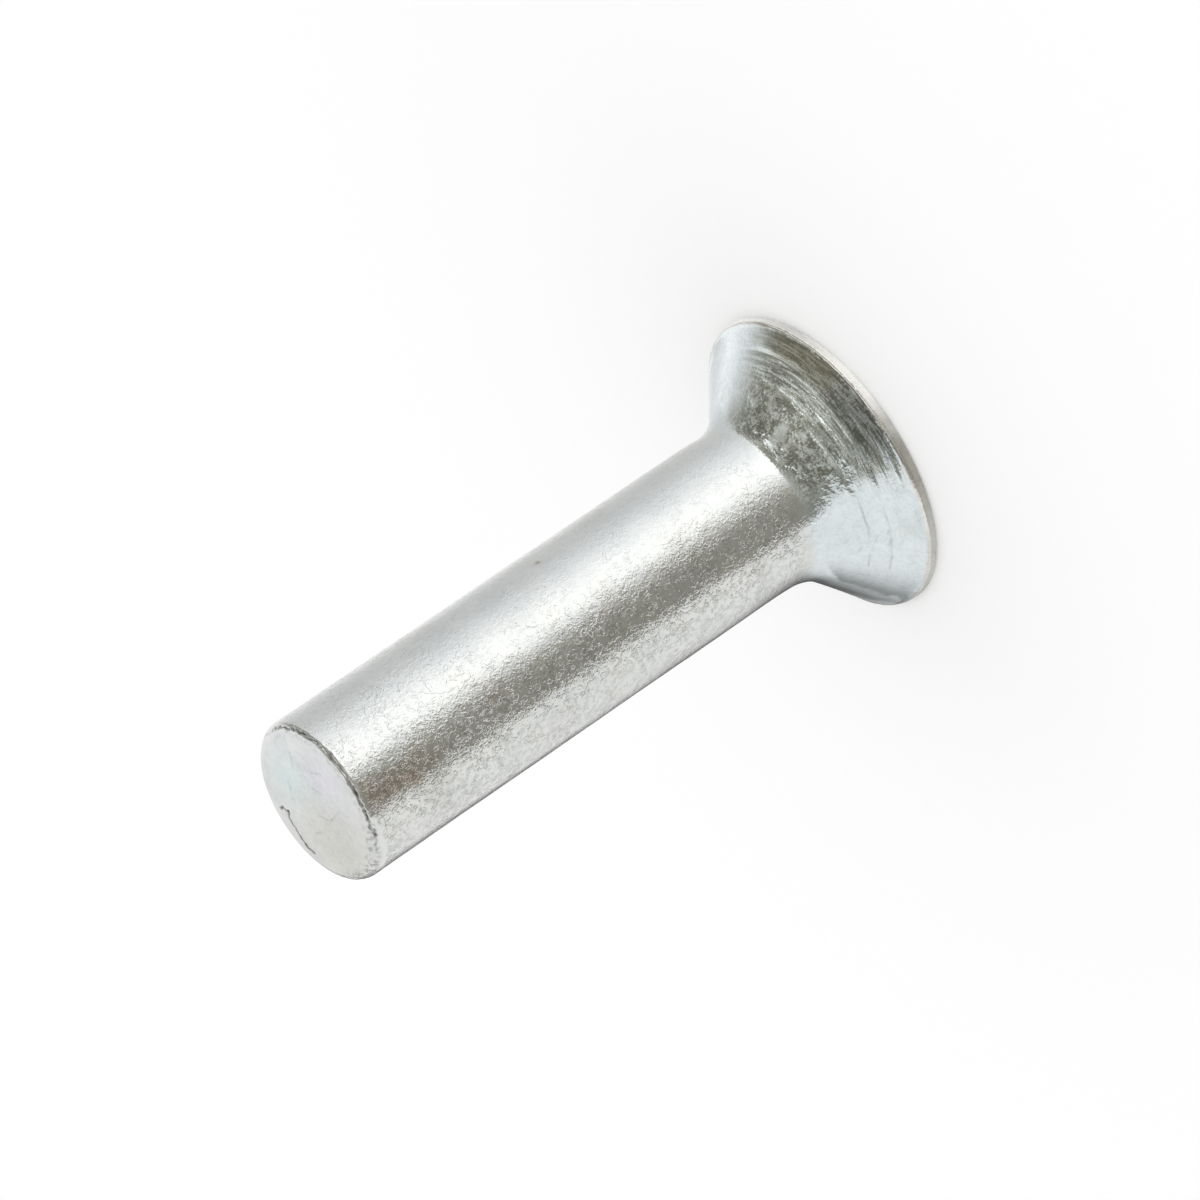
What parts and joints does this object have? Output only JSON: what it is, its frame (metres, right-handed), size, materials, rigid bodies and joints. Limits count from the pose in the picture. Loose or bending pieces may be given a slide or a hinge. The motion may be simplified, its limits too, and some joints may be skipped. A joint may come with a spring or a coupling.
{
  "type": "solid rivet",
  "caption": "Solid countersunk rivet: a plain round shank on a conical head with a flat face, made to be closed over in a countersunk hole.",
  "frame": {"origin": "centre of the head's flat face, on the axis of the shank", "axes": "+Z along the axis, from the head towards the sheared end; -Y is the side that the sheared face leans towards; X is square to both"},
  "size_m": [0.0114, 0.0114, 0.023],
  "materials": {
    "zinc_plate": "bright zinc plating on steel, barrel tumbled, satin, with brown-grey stains and fine scratches"
  },
  "bodies": {
    "root": {"rivet": "zinc_plate"}
  },
  "joints": []
}
